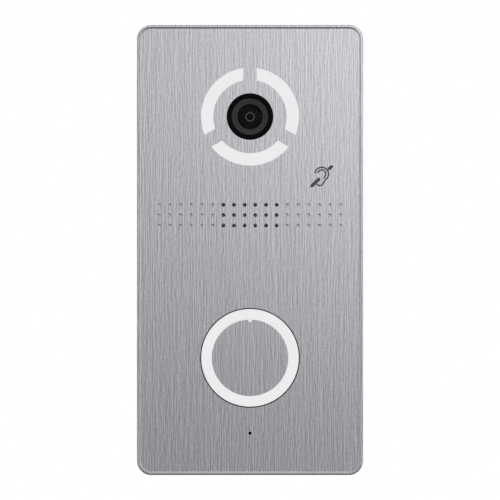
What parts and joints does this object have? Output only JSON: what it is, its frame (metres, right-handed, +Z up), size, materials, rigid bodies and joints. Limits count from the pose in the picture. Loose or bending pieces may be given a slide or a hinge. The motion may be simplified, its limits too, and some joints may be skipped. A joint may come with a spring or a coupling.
{
  "type": "door intercom panel",
  "caption": "Tall flush-mounted metal door intercom panel with a camera inside a lit ring, a drilled speaker grille, a hearing-loop coil and a large round lit call button.",
  "frame": {"origin": "centre of the mounting bracket's upper bar, on its back face, which lies on the wall", "axes": "+Z up the wall, +Y into the wall, -Y out of the panel's front towards the visitor, +X to the visitor's right"},
  "size_m": [0.1, 0.048, 0.199],
  "materials": {
    "brushed_aluminium": "vertically brushed and anodised",
    "white_light_guide": "satin translucent white",
    "black_plastic": "fine grained black",
    "dark_grey_plastic": "satin dark grey",
    "black_anodised_metal": "black anodised",
    "lens_glass": "coated, clear",
    "black_rubber": "matt",
    "bright_steel": "plain bright steel",
    "zinc_plated_steel": "zinc plated sheet",
    "copper_wire": "enamelled copper",
    "acoustic_mesh": "woven black mesh",
    "speaker_cone": "pressed, dark grey",
    "circuit_board": "solder mask",
    "green_plastic": "moulded green",
    "blue_plastic": "moulded blue",
    "red_plastic": "moulded red",
    "ferrite": "matt dark grey",
    "sensor_glass": "polished",
    "led_package": "white body, yellow phosphor",
    "ribbon_cable": "amber polyimide"
  },
  "bodies": {
    "panel": {"front_panel": "brushed_aluminium", "camera_light_guide": "white_light_guide", "camera_bezel": "black_plastic", "lens_holder": "black_plastic", "button_holder": "black_plastic", "switch_body": "black_plastic", "rear_housing": "black_plastic", "tamper_switch": "black_plastic", "camera_hood": "dark_grey_plastic", "iris_ring": "dark_grey_plastic", "lens_barrel": "black_anodised_metal", "front_lens": "lens_glass", "inner_lens": "lens_glass", "speaker_gasket": "black_rubber", "speaker_surround": "black_rubber", "button_seal": "black_rubber", "microphone_boot": "black_rubber", "housing_gasket": "black_rubber", "camera_screw_1": "bright_steel", "camera_screw_2": "bright_steel", "button_screw_1": "bright_steel", "button_screw_2": "bright_steel", "button_spring_1": "bright_steel", "button_spring_2": "bright_steel", "button_spring_3": "bright_steel", "speaker_basket": "bright_steel", "speaker_magnet": "bright_steel", "microphone_capsule": "bright_steel", "processor_shield": "bright_steel", "network_jack": "bright_steel", "housing_screw_1": "bright_steel", "housing_screw_2": "bright_steel", "housing_screw_3": "bright_steel", "housing_screw_4": "bright_steel", "security_screw_1": "bright_steel", "security_screw_2": "bright_steel", "mounting_bracket": "zinc_plated_steel", "hearing_loop_coil": "copper_wire", "speaker_mesh": "acoustic_mesh", "camera_light_board": "circuit_board", "camera_board": "circuit_board", "button_board": "circuit_board", "main_board": "circuit_board", "terminal_header": "green_plastic", "lock_relay": "blue_plastic", "power_transformer": "ferrite", "image_sensor": "sensor_glass", "camera_led_1": "led_package", "camera_led_2": "led_package", "camera_led_3": "led_package", "button_led_1": "led_package", "button_led_2": "led_package", "button_led_3": "led_package", "camera_ribbon": "ribbon_cable"},
    "call_button": {"button_disc": "brushed_aluminium", "button_ring": "white_light_guide"},
    "switch_actuator": {"switch_plunger": "red_plastic"},
    "tamper_actuator": {"tamper_plunger": "red_plastic"},
    "speaker_diaphragm": {"speaker_cone": "speaker_cone"},
    "wiring_plug": {"terminal_plug": "green_plastic"}
  },
  "joints": [
    {"name": "call_button_press", "type": "slide", "parent": "panel", "child": "call_button", "axis": [0, 1, 0], "range_m": [0, 0.001], "stiffness_N_per_m": 1500, "springref_m": -0.0007, "deforming": ["button_spring_1", "button_spring_2", "button_spring_3"]},
    {"name": "switch_plunger_travel", "type": "slide", "parent": "panel", "child": "switch_actuator", "axis": [0, 1, 0], "range_m": [0, 0.001]},
    {"name": "tamper_plunger_press", "type": "slide", "parent": "panel", "child": "tamper_actuator", "axis": [0, -1, 0], "range_m": [0, 0.002], "stiffness_N_per_m": 300, "springref_m": -0.001},
    {"name": "speaker_cone_travel", "type": "slide", "parent": "panel", "child": "speaker_diaphragm", "axis": [0, 1, 0], "range_m": [-0.0005, 0.0005], "stiffness_N_per_m": 500, "deforming": ["speaker_surround"]},
    {"name": "terminal_plug_pull", "type": "slide", "parent": "panel", "child": "wiring_plug", "axis": [0, 1, 0], "range_m": [0, 0.0075]}
  ],
  "couplings": [
    {"joint": "switch_plunger_travel", "follows": "call_button_press", "ratio": 1}
  ]
}
